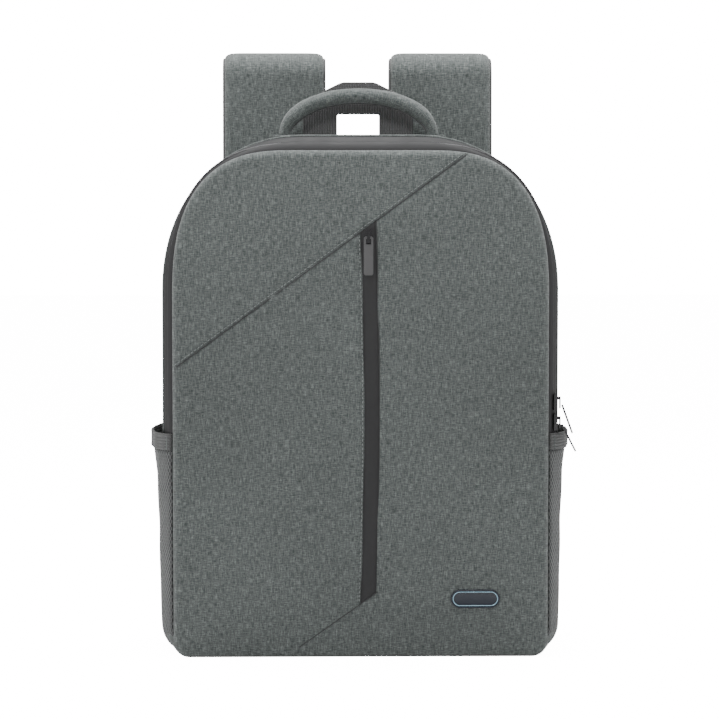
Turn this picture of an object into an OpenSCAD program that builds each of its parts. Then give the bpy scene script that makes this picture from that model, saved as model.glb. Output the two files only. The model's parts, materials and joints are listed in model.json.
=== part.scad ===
// Soft laptop backpack with padded straps, a fold-down front and two mesh side pockets.
// Millimetres. +Z is up, the front faces -Y, the origin is the middle of the base on the floor.

/* [Body] */
// Width across the side walls
body_w = 318; // [306:1:330]
// Height of the side wall at its crown
body_h = 420; // [410:1:440]
// Depth from the front panel to the back panel
body_d = 130; // [120:1:150]
// Thickness of the padded side wall
wall_t = 3; // [2:0.5:4]
// Thickness of the foam back panel
back_t = 4; // [3:0.5:5]
// Radius of the two base corners
base_r = 25; // [18:1:30]

/* [Front] */
// Width of the front panel
front_w = 302; // [296:1:304]
// Height of the front panel
front_h = 408; // [400:1:409]
// Thickness of the padded front panel
front_t = 5; // [4:0.5:6]
// Height of the line where the front folds down
fold_z = 180; // [178:1:182]
// Width of the smooth front pocket strip
strip_w = 12.4; // [11:0.2:14]
// Height of the lower tip of the pocket strip
strip_z0 = 44; // [40:1:60]
// Height of the upper tip of the pocket strip
strip_z1 = 343; // [340:1:350]
// Sideways bow of the pocket strip
strip_bow = 2.8; // [0:0.2:4]
// Length of the badge
badge_l = 39.6; // [34:0.2:44]
// Height of the badge
badge_h = 14.8; // [12:0.2:18]

/* [Straps and handle] */
// Width of a shoulder strap at the top
strap_w = 84; // [76:1:88]
// Distance from the middle to a strap's centre line
strap_x = 70; // [66:1:74]
// Height of the strap fold
strap_top = 490; // [480:1:500]
// Foam and face cloth of a strap
pad_t = 7; // [5:0.5:8]
// Air mesh on the inner side of a strap
lining_t = 2.5; // [1.5:0.5:3]
// Width of the adjusting webbing
web_w = 25; // [20:1:28]
// Half the distance between the feet of the carry handle
handle_x = 60; // [56:1:64]
// Height of the handle's centre line above its feet
handle_rise = 32; // [30:0.5:36]
// Radius of the padded handle
handle_r = 6.4; // [5.5:0.1:7]

/* [Side pockets] */
// Height of the pocket mouth
mouth_z = 181; // [180:1:182]
// Height of the elastic binding
bind_h = 13.6; // [11:0.2:15]
// How far the binding stands out from the side wall
bind_out = 10; // [8:0.5:11]
// How far the net stands out from the side wall
net_out = 7; // [6:0.5:8]

/* [Hidden] */
$fn = 48;
fabric = "#687270";
dark = "#3b3b3c";
mesh = "#565858";
web = "#4a4646";
metal = "#222224";
gap = 0.3;
front_y = -body_d / 2;
back_y = body_d / 2;
arc_x = 95;
arc_z = 120;
arc_more_x = 20;
arc_more_z = 5;
arc_order = 2.65;
arc_less = 0.55;
base_front = 13;
arc_steps = 16;
tape_t = 1.6;
coil_t = 2.4;
tape_y = front_y + front_t;
seam_y = tape_y + 7;
rear_y = seam_y + 2.2;
wall_y = rear_y + 6;
tape_w = front_w + 4;
coil_w = front_w + 8;
rear_w = coil_w + 0.4;
side_x = body_w / 2;
pad_y = back_y + 6;
big = 700;
slide_x = coil_w / 2 + gap + 0.3;
strip_step = 12;
strip_t = 0.9;
fold_r = strap_top - 470 - pad_t;
fold_y = back_y + 12 + fold_r;
net_z = base_r + 1;
edge_t = 2.5;
flange_t = 7.2;
flange_d = 3;

// Outline of an arched panel with two small base radii
function arch(w, h, inset) = concat(
    [for (i = [0 : 6]) corner(w, inset, -1, 180 + 15 * i)],
    [for (i = [0 : 6]) corner(w, inset, 1, 270 + 15 * i)],
    [for (i = [0 : arc_steps]) shoulder(w, h, inset, 1, 90 * i / arc_steps)],
    [for (i = [0 : arc_steps]) shoulder(w, h, inset, -1, 90 - 90 * i / arc_steps)]
);
// 0 at the front panel's width and 1 at the side wall's, which has rounder corners
function share(w) = (w - front_w) / (body_w - front_w);
function corner(w, inset, side, a) = let (r = base_front + (base_r - base_front) * share(w)) [
    side * (w / 2 - r) + max(r - inset, 1) * cos(a),
    r + max(r - inset, 1) * sin(a)
];
function shoulder(w, h, inset, side, a) = let (
    rx = arc_x + arc_more_x * share(w),
    rz = arc_z + arc_more_z * share(w),
    p = 2 / (arc_order - arc_less * share(w))
) [
    side * (w / 2 - rx + (rx - inset) * pow(cos(a), p)),
    h - rz + (rz - inset) * pow(sin(a), p)
];
// Left edge of the pocket strip at height z
function strip_left(z) = strip_bow * sin(180 * (z - strip_z0) / (strip_z1 - strip_z0)) - 0.4;
// Smooth step from 0 to 1
function ease(t) = let (c = max(0, min(1, t))) c * c * (3 - 2 * c);
// Half width and centre of a strap at height z
function strap_half(z) = 30 + (strap_w / 2 - 30) * ease((z - 150) / 230);
function strap_mid(z) = 92 + (strap_x - 92) * ease((z - 150) / 230);
// Line of a strap from its seam, over the fold and down behind the back, as [y, z]
strap_line = concat(
    [for (i = [0 : 3]) [back_y + 9 + i, 390 + (470 - 390) * i / 3]],
    [for (a = [162 : -18 : 18]) [back_y + 12 + fold_r * (1 + cos(a)), 470 + fold_r * sin(a)]],
    [for (i = [0 : 14]) strap_fall(i / 14)]
);
function strap_fall(u) = [
    back_y + 12 + 2 * fold_r - 6 * u + 16 * pow(sin(180 * u), 2),
    470 - 320 * u
];
last = len(strap_line) - 1;
function along(i) = strap_line[min(i + 1, last)] - strap_line[max(i - 1, 0)];
function out_of(i) = let (d = along(i)) [-d[1], d[0]] / norm(d);

module prism_y(y0, y1) {
    translate([0, y1, 0])
        rotate([90, 0, 0])
            linear_extrude(y1 - y0)
                children();
}

module prism_x(x0, x1) {
    translate([x0, 0, 0])
        rotate([90, 0, 90])
            linear_extrude(x1 - x0)
                children();
}

module slab(w, h, y0, y1, inset = 0) {
    prism_y(y0, y1)
        polygon(arch(w, h, inset));
}

module ring(w, h, t, y0, y1) {
    difference() {
        slab(w, h, y0, y1);
        slab(w, h, y0 - 1, y1 + 1, t);
    }
}

module above(z) {
    intersection() {
        children();
        translate([-big / 2, -big / 2, z])
            cube(big);
    }
}

module below(z) {
    intersection() {
        union()
            children();
        translate([-big / 2, -big / 2, z - big])
            cube(big);
    }
}

module bar(x0, x1, y0, y1, z0, z1) {
    translate([x0, y0, z0])
        cube([x1 - x0, y1 - y0, z1 - z0]);
}

// Padded side wall, top and bottom in one band; open at the upper front
module gusset() {
    color(fabric) {
        ring(body_w, body_h, wall_t, wall_y, back_y - back_t);
        below(fold_z - gap) {
            ring(coil_w - 0.2, body_h, wall_t, tape_y, wall_y);
            ring(body_w, body_h, flange_t, wall_y - flange_d, wall_y);
        }
    }
}

// Thin lining inside the side wall
module lining() {
    color(mesh)
        difference() {
            slab(body_w, body_h, wall_y + 1, back_y - back_t - 1, wall_t);
            slab(body_w, body_h, wall_y, back_y - back_t, wall_t + 0.8);
        }
}

module back_panel() {
    color(mesh)
        slab(body_w, body_h, back_y - back_t, back_y);
}

module rounded_plate(x0, x1, z0, z1, r, y0, y1) {
    for (x = [x0 + r, x1 - r])
        for (z = [z0 + r, z1 - r])
            translate([x, y1, z])
                rotate([90, 0, 0])
                    cylinder(h = y1 - y0, r = r);
    bar(x0 + r, x1 - r, y0, y1, z0, z1);
    bar(x0, x1, y0, y1, z0 + r, z1 - r);
}

module back_pad_right() {
    color(mesh)
        rounded_plate(14, 108, 122, 358, 16, back_y, pad_y);
}

module back_pad_left() {
    mirror([1, 0, 0])
        back_pad_right();
}

module lumbar_pad() {
    color(mesh)
        rounded_plate(-92, 92, 28, 108, 16, back_y, pad_y);
}

// Stiff board that keeps the base flat
module base_board() {
    color(dark)
        bar(-side_x + base_r + 3, side_x - base_r - 3, wall_y + 2, 36, wall_t + 0.8, wall_t + 4.8);
}

// Padded wall of the laptop sleeve
module laptop_divider() {
    color(mesh)
        rounded_plate(-side_x + wall_t + 2, side_x - wall_t - 2, 12, 292, 18, 38, 42);
}

// Outline of the pocket strip with slanted ends, grown by e on each side
module strip_outline(e) {
    n = strip_step;
    rise = 9;
    zs = [for (i = [0 : n]) strip_z0 + (strip_z1 - strip_z0) * i / n];
    polygon(concat(
        [for (i = [0 : n]) [strip_left(zs[i]) - e, zs[i]]],
        [for (i = [n : -1 : 0]) [strip_left(zs[i]) + strip_w + e, zs[i] + rise]]
    ));
}

// Slot behind the strip that is the mouth of the front pocket
module pocket_mouth() {
    prism_y(front_y - 1, tape_y + 1)
        intersection() {
            strip_outline(-4);
            translate([-50, strip_z0 + 12])
                square([100, strip_z1 - strip_z0 - 16]);
        }
}

// Region above the long slanted seam
module corner_region(shift) {
    prism_y(front_y - 5, tape_y + 5)
        polygon([
            [-160, 225.9 + shift],
            [100, 416.2 + shift],
            [100, 500],
            [-160, 500]
        ]);
}

module front_panel() {
    difference() {
        slab(front_w, front_h, front_y, tape_y);
        pocket_mouth();
    }
}

module front_panel_lower() {
    color(fabric)
        below(fold_z - gap)
            front_panel();
}

module front_panel_upper() {
    color(fabric)
        above(fold_z + gap)
            difference() {
                front_panel();
                corner_region(0);
            }
}

module front_panel_corner() {
    color(fabric)
        intersection() {
            front_panel();
            corner_region(0);
        }
}

module strip_body() {
    prism_y(front_y - strip_t, front_y)
        strip_outline(0);
}

module pocket_strip_lower() {
    color(dark)
        below(fold_z - gap)
            strip_body();
}

module pocket_strip_upper() {
    color(dark)
        above(fold_z + gap)
            strip_body();
}

module coil_body() {
    prism_y(front_y + 0.1, front_y + 2.4)
        intersection() {
            strip_outline(-4.6);
            translate([-50, strip_z0 + 14])
                square([100, strip_z1 - strip_z0 - 20]);
        }
}

module pocket_coil_lower() {
    color(metal)
        below(fold_z - gap)
            coil_body();
}

module pocket_coil_upper() {
    color(metal)
        above(fold_z + gap)
            coil_body();
}

// Flat cloth bag of the front pocket, behind the panel
module pocket_bag() {
    difference() {
        bar(-120, 40, tape_y + 0.1, tape_y + 5, 30, 330);
        bar(-119, 39, tape_y - 1, tape_y + 4.2, 31, 329);
    }
}

module pocket_lining_lower() {
    color(mesh)
        below(fold_z - gap)
            pocket_bag();
}

module pocket_lining_upper() {
    color(mesh)
        above(fold_z + gap)
            pocket_bag();
}

// Capsule badge with a raised rim and no lettering
module badge() {
    r = badge_h / 2;
    reach = badge_l / 2 - r;
    color("#1b2536")
        translate([92, front_y, 48])
            difference() {
                capsule(reach, r, 1.6);
                translate([0, -1.1, 0])
                    capsule(reach, r - 1.2, 1.6);
            }
}

module capsule(reach, r, t) {
    rotate([90, 0, 0]) {
        for (x = [-reach, reach])
            translate([x, 0, 0])
                cylinder(h = t, r = r);
        translate([-reach, -r, 0])
            cube([2 * reach, 2 * r, t]);
    }
}

module rear_zip_tape() {
    color(dark)
        above(fold_z)
            ring(rear_w, body_h - 3, tape_t, rear_y, wall_y);
}

module rear_zip_coil() {
    color(metal)
        above(fold_z)
            ring(coil_w, front_h + 6, coil_t, seam_y + gap, rear_y);
}

module flap_zip_tape() {
    color(dark)
        above(fold_z + gap)
            ring(tape_w, front_h + 3, tape_t, tape_y, seam_y - 2);
}

module flap_zip_coil() {
    color(metal)
        above(fold_z + gap)
            ring(coil_w, front_h + 6, coil_t, seam_y - 2, seam_y);
}

// Cloth tab that closes one end of the main zip
module zip_end_right() {
    color(fabric)
        bar(coil_w / 2 + 0.1, coil_w / 2 + 1.6, tape_y + 2, wall_y - 3.2, fold_z - 12, fold_z - 2);
}

module zip_end_left() {
    mirror([1, 0, 0])
        zip_end_right();
}

// Half outline of a bowed side pocket: x stands out from the wall, y runs front to back
module bow_outline(out, t) {
    n = 14;
    y0 = tape_y;
    y1 = 50;
    front_x = coil_w / 2 + 1.9;
    outer = [for (i = [0 : n]) let (u = i / n) [
        front_x + (side_x + 0.1 - front_x) * u + out * sin(180 * u),
        y0 + (y1 - y0) * u
    ]];
    polygon(concat(outer, [for (i = [n : -1 : 0]) outer[i] + [t, 0]]));
}

module side_net_right() {
    color(mesh)
        difference() {
            union() {
                translate([0, 0, net_z])
                    linear_extrude(mouth_z - bind_h - net_z)
                        bow_outline(net_out, 0.8);
                translate([0, 0, net_z])
                    linear_extrude(1.6)
                        bow_outline(net_out - 7, 7.4);
            }
            slab(body_w, body_h, tape_y - 2, back_y);
        }
}

module side_net_left() {
    mirror([1, 0, 0])
        side_net_right();
}

module net_binding_right() {
    color(dark)
        translate([0, 0, mouth_z - bind_h])
            linear_extrude(bind_h)
                bow_outline(bind_out - 1.6, 1.6);
}

module net_binding_left() {
    mirror([1, 0, 0])
        net_binding_right();
}

// Reinforced band on the back where both straps are sewn in
module shoulder_yoke() {
    color(fabric)
        rounded_plate(-113, 113, 364, 390, 6, back_y, back_y + 8);
}

// Cloth triangle in the back seam that holds the lower webbing
module strap_wing_right() {
    color(fabric)
        prism_y(back_y, back_y + 2.4)
            polygon([[side_x - 3, 28], [side_x - 3, 92], [114, 62], [110, 46]]);
}

module strap_wing_left() {
    mirror([1, 0, 0])
        strap_wing_right();
}

module pocket_slider() {
    x = strip_left(strip_z1 - 4) + strip_w / 2;
    y = front_y - strip_t - gap;
    color(metal) {
        rounded_plate(x - 3.2, x + 3.2, 334, 345, 2, y - 2.2, y);
        bar(x - 1, x + 1, y - 6.2, y - 2.2, 341, 343.5);
        bar(x - 1, x + 1, y - 6.2, y - 5, 334.4, 341);
        bar(x - 1, x + 1, y - 6.2, y - 2.2, 334.4, 336.2);
    }
}

module pocket_puller() {
    x = strip_left(strip_z1 - 4) + strip_w / 2;
    y = front_y - strip_t - gap - 2.9;
    color("#49494b")
        difference() {
            rounded_plate(x - 3.8, x + 3.8, 308.5, 339.5, 1.8, y - 1.4, y);
            bar(x - 2, x + 2, y - 3, y + 1, 333.2, 337.4);
        }
}

// Slider body on the side of the main zip, bottom at height z
module side_slider(z) {
    y = seam_y;
    color(metal) {
        bar(slide_x, slide_x + 3, y - 4, y + 4, z, z + 13);
        bar(slide_x + 3, slide_x + 5.6, y - 1, y + 1, z + 8.6, z + 11);
        bar(slide_x + 4.4, slide_x + 5.6, y - 1, y + 1, z + 1.5, z + 8.6);
    }
}

// Flat pull leaning out by angle a from its pivot at height z
module side_pull(z, a) {
    translate([slide_x + 5.7, seam_y, z])
        rotate([0, -a, 0])
            color(metal)
                difference() {
                    prism_x(0.4, 1.8)
                        pull_outline();
                    prism_x(0, 3)
                        translate([0, -2.6])
                            circle(r = 1.3);
                }
}

module pull_outline() {
    translate([0, -2.6])
        circle(r = 2.6);
    translate([-2.6, -22])
        square([5.2, 19.4]);
    translate([0, -22])
        circle(r = 2.6);
}

module zip_slider_upper() {
    side_slider(199);
}

module zip_puller_upper() {
    side_pull(203, 20);
}

module zip_slider_lower() {
    side_slider(183);
}

module zip_puller_lower() {
    side_pull(187, 27);
}

// Round bar bent into the handle arch, radius r
module handle_arch(r) {
    bend = handle_rise - handle_r;
    flat = handle_x - bend;
    translate([-flat, 0, handle_rise])
        rotate([0, 90, 0])
            cylinder(h = 2 * flat, r = r);
    for (side = [0, 1])
        mirror([side, 0, 0]) {
            translate([flat, 0, handle_rise - bend])
                rotate([90, 0, 0])
                    rotate_extrude(angle = 90)
                        translate([bend, 0])
                            circle(r = r);
            translate([handle_x, 0, handle_r])
                sphere(r = r);
        }
}

module at_handle() {
    translate([0, 30, body_h + 0.4])
        children();
}

module handle_cover() {
    color(fabric)
        at_handle()
            difference() {
                handle_arch(handle_r);
                handle_arch(4.5);
                for (x = [-handle_x, handle_x])
                    translate([x, 0, -1])
                        cylinder(h = handle_r + 1, r = 4.5);
            }
}

module handle_core() {
    color(mesh)
        at_handle()
            handle_arch(4.45);
}

// Flat webbing loop sewn in behind the handle
module hang_loop() {
    z = body_h + 0.4;
    color(web)
        prism_y(52, 54)
            polygon([
                [-46, z], [-46, z + 20], [-30, z + 37], [-14, z + 45], [14, z + 45],
                [30, z + 37], [46, z + 20], [46, z], [17.5, z], [17.5, z + 17.5],
                [-17.5, z + 17.5], [-17.5, z]
            ]);
}

// Side band of the strap profile between two distances from its line
module strap_ribbon(a, b) {
    prism_x(0, 160)
        polygon(concat(
            [for (i = [0 : last]) strap_line[i] + b * out_of(i)],
            [for (i = [last : -1 : 0]) strap_line[i] + a * out_of(i)]
        ));
}

// Face outline of a strap, made narrower by e on each side
module strap_face(e) {
    zs = [for (i = [0 : 16]) 140 + 360 * i / 16];
    prism_y(back_y - 20, back_y + 90)
        polygon(concat(
            [for (z = zs) [strap_mid(z) + strap_half(z) - e, z]],
            [for (i = [16 : -1 : 0]) [strap_mid(zs[i]) - strap_half(zs[i]) + e, zs[i]]]
        ));
}

// Keeps the part of a strap behind its fold
module hanging() {
    intersection() {
        children();
        translate([-big / 2, fold_y + 0.2, -big / 2])
            cube([big, big, 2 * big]);
    }
}

// Part of a strap between the yoke and the top of its fold
module strap_root_right() {
    color(fabric)
        intersection() {
            strap_ribbon(-lining_t, pad_t);
            strap_face(0);
            translate([-big / 2, fold_y - 0.2 - big, -big / 2])
                cube([big, big, 2 * big]);
        }
}

module strap_root_left() {
    mirror([1, 0, 0])
        strap_root_right();
}

module strap_pad_right() {
    color(fabric)
        hanging()
            intersection() {
                strap_ribbon(0, pad_t);
                strap_face(edge_t);
            }
}

module strap_mesh_right() {
    color(mesh)
        hanging()
            intersection() {
                strap_ribbon(-lining_t, 0);
                strap_face(edge_t);
            }
}

module strap_binding_right() {
    color(dark)
        hanging()
            difference() {
                intersection() {
                    strap_ribbon(-lining_t, pad_t);
                    strap_face(0);
                }
                strap_face(edge_t);
            }
}

module strap_pad_left() {
    mirror([1, 0, 0])
        strap_pad_right();
}

module strap_mesh_left() {
    mirror([1, 0, 0])
        strap_mesh_right();
}

module strap_binding_left() {
    mirror([1, 0, 0])
        strap_binding_right();
}

lock_x = 92;
lock_y = back_y + 12 + 2 * fold_r - 6;

// Webbing loop that ties the lock to the strap end
module lock_tab_right() {
    color(web)
        difference() {
            bar(lock_x - web_w / 2, lock_x + web_w / 2, lock_y - 2.5, lock_y + 4.5, 139, 149.8);
            bar(lock_x - web_w, lock_x + web_w, lock_y - 1.1, lock_y + 3.1, 140.4, 148.4);
        }
}

module lock_tab_left() {
    mirror([1, 0, 0])
        lock_tab_right();
}

module ladder_lock_right() {
    w = web_w + 7;
    color(metal)
        difference() {
            bar(lock_x - w / 2, lock_x + w / 2, lock_y - 1, lock_y + 3, 120, 145);
            bar(lock_x - web_w / 2 - 0.6, lock_x + web_w / 2 + 0.6, lock_y - 3, lock_y + 6, 136, 141);
            bar(lock_x - web_w / 2 - 0.6, lock_x + web_w / 2 + 0.6, lock_y - 3, lock_y + 6, 124, 132);
        }
}

module ladder_lock_left() {
    mirror([1, 0, 0])
        ladder_lock_right();
}

// Adjusting webbing from the lock down to the cloth wing
module lower_webbing_right() {
    a = [lock_x, lock_y + 1, 119.4];
    b = [126, back_y + 4.2, 56];
    run = b - a;
    color(web)
        below(119.6)
            translate(a)
                rotate([-asin(-run[1] / norm(run)), -atan2(run[0], -run[2]), 0])
                    translate([-web_w / 2, -0.8, -norm(run)])
                        cube([web_w, 1.6, norm(run) + 8]);
}

module lower_webbing_left() {
    mirror([1, 0, 0])
        lower_webbing_right();
}

gusset();
lining();
back_panel();
back_pad_left();
back_pad_right();
lumbar_pad();
base_board();
laptop_divider();
front_panel_lower();
pocket_strip_lower();
pocket_coil_lower();
pocket_lining_lower();
badge();
rear_zip_tape();
rear_zip_coil();
zip_end_left();
zip_end_right();
side_net_left();
side_net_right();
net_binding_left();
net_binding_right();
shoulder_yoke();
strap_wing_left();
strap_wing_right();
strap_root_left();
strap_root_right();
front_panel_corner();
front_panel_upper();
flap_zip_tape();
flap_zip_coil();
pocket_strip_upper();
pocket_coil_upper();
pocket_lining_upper();
pocket_slider();
pocket_puller();
zip_slider_upper();
zip_puller_upper();
zip_slider_lower();
zip_puller_lower();
handle_cover();
handle_core();
hang_loop();
strap_pad_left();
strap_pad_right();
strap_mesh_left();
strap_mesh_right();
strap_binding_left();
strap_binding_right();
lock_tab_left();
lock_tab_right();
ladder_lock_left();
ladder_lock_right();
lower_webbing_left();
lower_webbing_right();
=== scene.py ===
import json
import math
import bpy
import numpy as np
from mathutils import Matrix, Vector


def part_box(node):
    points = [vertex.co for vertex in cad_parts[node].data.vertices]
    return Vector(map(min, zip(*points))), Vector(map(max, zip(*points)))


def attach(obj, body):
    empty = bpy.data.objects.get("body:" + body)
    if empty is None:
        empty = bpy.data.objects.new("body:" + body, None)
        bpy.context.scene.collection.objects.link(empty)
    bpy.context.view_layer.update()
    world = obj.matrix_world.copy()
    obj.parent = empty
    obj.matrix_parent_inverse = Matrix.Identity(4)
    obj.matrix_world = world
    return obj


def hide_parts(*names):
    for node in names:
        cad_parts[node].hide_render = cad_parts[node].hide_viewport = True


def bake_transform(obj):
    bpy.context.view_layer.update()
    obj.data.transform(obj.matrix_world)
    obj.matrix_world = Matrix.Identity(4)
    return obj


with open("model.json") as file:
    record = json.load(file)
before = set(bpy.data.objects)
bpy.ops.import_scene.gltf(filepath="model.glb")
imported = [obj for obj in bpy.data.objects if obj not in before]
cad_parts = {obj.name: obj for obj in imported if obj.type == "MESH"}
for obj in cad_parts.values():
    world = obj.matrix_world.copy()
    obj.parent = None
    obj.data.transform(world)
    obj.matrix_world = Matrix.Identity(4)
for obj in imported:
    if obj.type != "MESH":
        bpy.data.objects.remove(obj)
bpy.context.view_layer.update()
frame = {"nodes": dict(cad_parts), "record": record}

# ---------------------------------------------------------------- sizes, from the frame
gus_lo, gus_hi = (np.array(v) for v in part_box("gusset"))
fp_lo, fp_hi = (np.array(v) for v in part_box("front_panel_lower"))
up_hi = np.array(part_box("front_panel_corner")[1])
BODY_W, BODY_H = gus_hi[0] - gus_lo[0], gus_hi[2]
FRONT_W, FRONT_H = fp_hi[0] - fp_lo[0], up_hi[2]
FY, TAPE_Y = fp_lo[1], fp_hi[1]
BACK_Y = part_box("back_panel")[1][1]
FOLD_Z = 0.5 * (fp_hi[2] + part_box("front_panel_upper")[0][2])
RX, RZ, RB, ORDER = 0.095, 0.120, 0.025, 2.65
BASE_FRONT = 0.013
RX_MORE, RZ_MORE, ORDER_LESS = 0.020, 0.005, 0.55
SEAM_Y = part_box("flap_zip_coil")[1][1]
WALL_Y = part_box("rear_zip_tape")[1][1]


# ---------------------------------------------------------------- mesh helpers
def smooth(t):
    t = np.clip(t, 0, 1)
    return t * t * (3 - 2 * t)


def grid_mesh(name, P, uv, close=False, flip=False):
    """A sheet of quads from an n by m array of points."""
    n, m = P.shape[:2]
    verts = P.reshape(-1, 3)
    faces, fuv = [], []
    U = uv.reshape(-1, 2)
    last = m if close else m - 1
    wrap = None
    if close:
        wrap = uv[:, -1] + (uv[:, -1] - uv[:, -2])
    for i in range(n - 1):
        for j in range(last):
            k = (j + 1) % m
            a, b, c, d = i * m + j, i * m + k, (i + 1) * m + k, (i + 1) * m + j
            q = [a, b, c, d]
            t = [U[a], U[b], U[c], U[d]]
            if close and k == 0:
                t[1], t[2] = wrap[i], wrap[i + 1]
            if flip:
                q.reverse()
                t.reverse()
            faces.append(q)
            fuv.extend(t)
    me = bpy.data.meshes.new(name)
    me.from_pydata(verts.tolist(), [], faces)
    layer = me.uv_layers.new(name="UVMap")
    layer.data.foreach_set("uv", np.array(fuv, float).ravel())
    me.polygons.foreach_set("use_smooth", [True] * len(me.polygons))
    ob = bpy.data.objects.new(name, me)
    bpy.context.scene.collection.objects.link(ob)
    return ob


def lengths(P):
    d = np.linalg.norm(np.diff(P, axis=0), axis=1)
    return np.concatenate([[0], np.cumsum(d)])


def loft(name, rings, flip=False, close=False, u0=0.0):
    """A skin through rings with equal point counts; UVs in metres."""
    P = np.array(rings)
    u = lengths(P[len(rings) // 2])
    v = lengths(P[:, P.shape[1] // 3])
    uv = np.stack(np.meshgrid(u + u0, v), -1)
    return grid_mesh(name, P, uv, close=close, flip=flip)


def cap_ends(ob, m, n):
    import bmesh

    bm = bmesh.new()
    bm.from_mesh(ob.data)
    bm.verts.ensure_lookup_table()
    uvl = bm.loops.layers.uv.verify()
    for start, rev in ((0, True), ((n - 1) * m, False)):
        vs = [bm.verts[start + j] for j in range(m)]
        f = bm.faces.new(vs[::-1] if rev else vs)
        for lp in f.loops:
            lp[uvl].uv = (lp.vert.co.x, lp.vert.co.y + lp.vert.co.z)
        f.smooth = True
    bm.normal_update()
    bm.to_mesh(ob.data)
    bm.free()


def sweep(name, path, A, B, section, scale=None, closed_path=False, caps=True, flip=False):
    """Carries a closed 2D section along a path. A and B are the section's axes at each point."""
    path, A, B = np.array(path, float), np.array(A, float), np.array(B, float)
    sec = np.array(section, float)
    n, m = len(path), len(sec)
    P = np.zeros((n, m, 3))
    for i in range(n):
        s = sec if scale is None else sec * np.array(scale[i])
        P[i] = path[i] + s[:, :1] * A[i] + s[:, 1:] * B[i]
    if closed_path:
        P = np.concatenate([P, P[:1]])
    v = lengths(P[:, 0])
    u = lengths(np.c_[sec, np.zeros(m)])
    uv = np.stack(np.meshgrid(u, v), -1)
    ob = grid_mesh(name, P, uv, close=True, flip=flip)
    if caps and not closed_path:
        cap_ends(ob, m, n)
    fix_normals(ob)
    return ob


def fix_normals(ob):
    import bmesh

    bm = bmesh.new()
    bm.from_mesh(ob.data)
    bmesh.ops.remove_doubles(bm, verts=bm.verts, dist=1e-7)
    bmesh.ops.recalc_face_normals(bm, faces=bm.faces)
    bm.to_mesh(ob.data)
    bm.free()


def circle(r, n=12, rz=None):
    a = np.linspace(0, 2 * np.pi, n, endpoint=False)
    return np.c_[r * np.cos(a), (rz or r) * np.sin(a)]


def pill(w, t, r=None, n=5):
    """Rounded rectangle of full width w and thickness t."""
    r = min(w, t) / 2 if r is None else r
    out = []
    for cx, cz, a0 in (
        (w / 2 - r, t / 2 - r, 0), (-w / 2 + r, t / 2 - r, 90), (-w / 2 + r, -t / 2 + r, 180),
        (w / 2 - r, -t / 2 + r, 270)
    ):
        for a in np.radians(np.linspace(a0, a0 + 90, n)):
            out.append([cx + r * math.cos(a), cz + r * math.sin(a)])
    return np.array(out)


def tube(name, path, r, up=(0, 0, 1), n=10, closed=False):
    path = np.array(path, float)
    if closed:
        T = np.roll(path, -1, axis=0) - np.roll(path, 1, axis=0)
    else:
        T = np.gradient(path, axis=0)
    T /= np.linalg.norm(T, axis=1)[:, None]
    A = np.cross(np.array(up, float), T)
    A /= np.maximum(np.linalg.norm(A, axis=1), 1e-9)[:, None]
    return sweep(name, path, A, np.cross(T, A), circle(r, n), closed_path=closed)


def rounded_box(name, lo, hi, r, seg=3):
    import bmesh

    bm = bmesh.new()
    bmesh.ops.create_cube(bm, size=1)
    lo, hi = np.array(lo), np.array(hi)
    for v in bm.verts:
        v.co = Vector((np.array(v.co) + 0.5) * (hi - lo) + lo)
    bmesh.ops.bevel(bm, geom=list(bm.edges), offset=r, segments=seg, profile=0.6, affect="EDGES")
    uvl = bm.loops.layers.uv.verify()
    for f in bm.faces:
        f.smooth = True
        for lp in f.loops:
            c, nn = lp.vert.co, f.normal
            lp[uvl].uv = (c.x, c.z) if abs(nn.y) > 0.6 else ((c.y, c.z) if abs(nn.x) > 0.6 else (c.x, c.y))
    me = bpy.data.meshes.new(name)
    bm.to_mesh(me)
    bm.free()
    ob = bpy.data.objects.new(name, me)
    bpy.context.scene.collection.objects.link(ob)
    return ob


def stitches(name, pts, normal, length=0.0022, gapl=0.0011, r=0.00028, lift=0.0002):
    """A row of thread stitches along a line on a surface."""
    pts = np.array(pts, float)
    s = lengths(pts)
    total, pitch = s[-1], length + gapl
    obs_v, obs_f = [], []
    k = 6
    ang = np.linspace(0, 2 * np.pi, k, endpoint=False)
    N = np.array(normal, float)
    count = int(total // pitch)
    for i in range(count):
        a, b = i * pitch, i * pitch + length
        pa = np.array([np.interp(a, s, pts[:, c]) for c in range(3)])
        pb = np.array([np.interp(b, s, pts[:, c]) for c in range(3)])
        d = (pb - pa) / np.linalg.norm(pb - pa)
        side = np.cross(N, d)
        base = len(obs_v)
        for f, rr, dz in ((0, 0.5, -0.5), (0.25, 1, 0.4), (0.75, 1, 0.4), (1, 0.5, -0.5)):
            c = pa + (pb - pa) * f + N * (lift + dz * r)
            for t in ang:
                obs_v.append(c + rr * r * (side * math.cos(t) + N * math.sin(t)))
        for q in range(3):
            for t in range(k):
                u = (t + 1) % k
                obs_f.append([
                    base + q * k + t, base + q * k + u, base + (q + 1) * k + u, base + (q + 1) * k + t
                ])
        obs_f.append([base + t for t in range(k)][::-1])
        obs_f.append([base + 3 * k + t for t in range(k)])
    me = bpy.data.meshes.new(name)
    me.from_pydata([list(v) for v in obs_v], [], obs_f)
    me.uv_layers.new(name="UVMap")
    me.polygons.foreach_set("use_smooth", [True] * len(me.polygons))
    ob = bpy.data.objects.new(name, me)
    bpy.context.scene.collection.objects.link(ob)
    fix_normals(ob)
    return ob


# ---------------------------------------------------------------- materials
def new_mat(name):
    m = bpy.data.materials.new(name)
    m.use_nodes = True
    nt = m.node_tree
    return m, nt, nt.nodes["Principled BSDF"]


def math_node(nt, op, a, b=None):
    n = nt.nodes.new("ShaderNodeMath")
    n.operation = op
    for i, x in enumerate((a, b)):
        if x is None:
            continue
        if isinstance(x, (int, float)):
            n.inputs[i].default_value = x
        else:
            nt.links.new(x, n.inputs[i])
    return n.outputs[0]


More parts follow.
